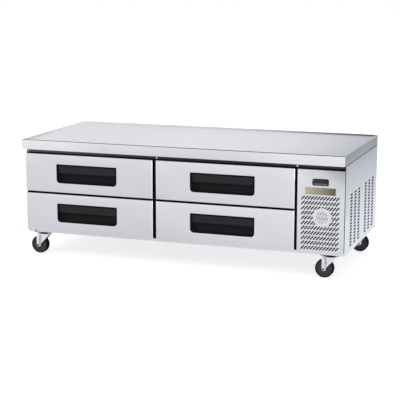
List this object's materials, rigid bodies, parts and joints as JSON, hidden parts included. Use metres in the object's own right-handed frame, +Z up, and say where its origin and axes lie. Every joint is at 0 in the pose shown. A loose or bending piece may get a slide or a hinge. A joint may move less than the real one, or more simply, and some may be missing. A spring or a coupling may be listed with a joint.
{
  "type": "refrigerated chef base",
  "caption": "Low stainless refrigerated equipment stand with insulated drawers, raised marine rim, side condensing unit and swivel casters.",
  "frame": {"origin": "on the floor, under the middle of the worktop", "axes": "+X along the length towards the machine compartment, -Y out of the drawer fronts, +Z up"},
  "size_m": [1.829, 0.826, 0.663],
  "materials": {
    "stainless": "brushed stainless sheet, fine grain",
    "galvanised": "galvanised sheet, dull",
    "black_plastic": "moulded ABS, fine texture",
    "display": "dark red display window, glossy",
    "bronze_plate": "bare bronze-toned plate, satin",
    "white_liner": "thermoformed light liner",
    "foam": "rigid polyurethane foam",
    "board": "stiffening board under the worktop",
    "gasket": "soft black magnetic gasket",
    "aluminium": "mill aluminium fins",
    "black_enamel": "black enamelled steel",
    "copper": "bare copper tube",
    "zinc": "bright zinc plated steel",
    "wheel_black": "black polyurethane and nylon"
  },
  "bodies": {
    "cabinet": {"worktop": "stainless", "worktop_core": "board", "back_panel": "galvanised", "left_side_panel": "stainless", "right_side_panel": "stainless", "base_pan": "galvanised", "bulkhead_panel": "black_enamel", "foam_insulation": "foam", "inner_liner": "white_liner", "front_frame": "black_enamel", "machine_cover": "stainless", "controller_body": "black_plastic", "controller_display": "display", "nameplate": "bronze_plate", "compressor": "black_enamel", "condenser_coil": "black_enamel", "condenser_fan_shroud": "black_enamel", "evaporator_coil": "aluminium", "evaporator_fan_housing": "galvanised", "refrigerant_line": "copper", "power_inlet": "black_plastic", "left_slide_bracket": "galvanised", "center_slide_pillar": "galvanised", "right_slide_bracket": "galvanised", "front_left_caster_plate": "zinc", "front_right_caster_plate": "zinc", "rear_left_caster_plate": "zinc", "rear_right_caster_plate": "zinc"},
    "left_upper_drawer": {"left_upper_drawer_front": "stainless", "left_upper_drawer_core": "white_liner", "left_upper_drawer_handle": "black_plastic", "left_upper_drawer_gasket": "gasket", "left_upper_drawer_pan_frame": "galvanised"},
    "left_lower_drawer": {"left_lower_drawer_front": "stainless", "left_lower_drawer_core": "white_liner", "left_lower_drawer_handle": "black_plastic", "left_lower_drawer_gasket": "gasket", "left_lower_drawer_pan_frame": "galvanised"},
    "right_upper_drawer": {"right_upper_drawer_front": "stainless", "right_upper_drawer_core": "white_liner", "right_upper_drawer_handle": "black_plastic", "right_upper_drawer_gasket": "gasket", "right_upper_drawer_pan_frame": "galvanised"},
    "right_lower_drawer": {"right_lower_drawer_front": "stainless", "right_lower_drawer_core": "white_liner", "right_lower_drawer_handle": "black_plastic", "right_lower_drawer_gasket": "gasket", "right_lower_drawer_pan_frame": "galvanised"},
    "front_left_caster_swivel": {"front_left_caster_fork": "zinc"},
    "front_left_caster_roller": {"front_left_caster_wheel": "wheel_black"},
    "front_right_caster_swivel": {"front_right_caster_fork": "zinc"},
    "front_right_caster_roller": {"front_right_caster_wheel": "wheel_black"},
    "rear_left_caster_swivel": {"rear_left_caster_fork": "zinc"},
    "rear_left_caster_roller": {"rear_left_caster_wheel": "wheel_black"},
    "rear_right_caster_swivel": {"rear_right_caster_fork": "zinc"},
    "rear_right_caster_roller": {"rear_right_caster_wheel": "wheel_black"},
    "condenser_fan": {"condenser_fan_blade": "aluminium"},
    "evaporator_fan": {"evaporator_fan_blade": "black_plastic"},
    "key_up": {"controller_key_up": "black_plastic"},
    "key_down": {"controller_key_down": "black_plastic"}
  },
  "joints": [
    {"name": "left_upper_drawer_slide", "type": "slide", "parent": "cabinet", "child": "left_upper_drawer", "axis": [0, -1, 0], "range_m": [0, 0.45]},
    {"name": "left_lower_drawer_slide", "type": "slide", "parent": "cabinet", "child": "left_lower_drawer", "axis": [0, -1, 0], "range_m": [0, 0.45]},
    {"name": "right_upper_drawer_slide", "type": "slide", "parent": "cabinet", "child": "right_upper_drawer", "axis": [0, -1, 0], "range_m": [0, 0.45]},
    {"name": "right_lower_drawer_slide", "type": "slide", "parent": "cabinet", "child": "right_lower_drawer", "axis": [0, -1, 0], "range_m": [0, 0.45]},
    {"name": "front_left_caster_swivel", "type": "hinge", "parent": "cabinet", "child": "front_left_caster_swivel", "pos_m": [-0.83, -0.313, 0.11], "axis": [0, 0, 1], "continuous": true},
    {"name": "front_left_caster_roll", "type": "hinge", "parent": "front_left_caster_swivel", "child": "front_left_caster_roller", "pos_m": [-0.864, -0.313, 0.05], "axis": [0, 1, 0], "continuous": true},
    {"name": "front_right_caster_swivel", "type": "hinge", "parent": "cabinet", "child": "front_right_caster_swivel", "pos_m": [0.83, -0.313, 0.11], "axis": [0, 0, 1], "continuous": true},
    {"name": "front_right_caster_roll", "type": "hinge", "parent": "front_right_caster_swivel", "child": "front_right_caster_roller", "pos_m": [0.796, -0.313, 0.05], "axis": [0, 1, 0], "continuous": true},
    {"name": "rear_left_caster_swivel", "type": "hinge", "parent": "cabinet", "child": "rear_left_caster_swivel", "pos_m": [-0.812, 0.328, 0.11], "axis": [0, 0, 1], "continuous": true},
    {"name": "rear_left_caster_roll", "type": "hinge", "parent": "rear_left_caster_swivel", "child": "rear_left_caster_roller", "pos_m": [-0.778, 0.328, 0.05], "axis": [0, 1, 0], "continuous": true},
    {"name": "rear_right_caster_swivel", "type": "hinge", "parent": "cabinet", "child": "rear_right_caster_swivel", "pos_m": [0.812, 0.328, 0.11], "axis": [0, 0, 1], "continuous": true},
    {"name": "rear_right_caster_roll", "type": "hinge", "parent": "rear_right_caster_swivel", "child": "rear_right_caster_roller", "pos_m": [0.846, 0.328, 0.05], "axis": [0, 1, 0], "continuous": true},
    {"name": "condenser_fan_spin", "type": "hinge", "parent": "cabinet", "child": "condenser_fan", "pos_m": [0.7855, -0.2277, 0.3128], "axis": [0, 1, 0], "continuous": true},
    {"name": "evaporator_fan_spin", "type": "hinge", "parent": "cabinet", "child": "evaporator_fan", "pos_m": [0.2495, 0.2774, 0.376], "axis": [0, 1, 0], "continuous": true},
    {"name": "key_up_press", "type": "slide", "parent": "cabinet", "child": "key_up", "axis": [0, 1, 0], "range_m": [0, 0.001], "stiffness_N_per_m": 800},
    {"name": "key_down_press", "type": "slide", "parent": "cabinet", "child": "key_down", "axis": [0, 1, 0], "range_m": [0, 0.001], "stiffness_N_per_m": 800}
  ]
}
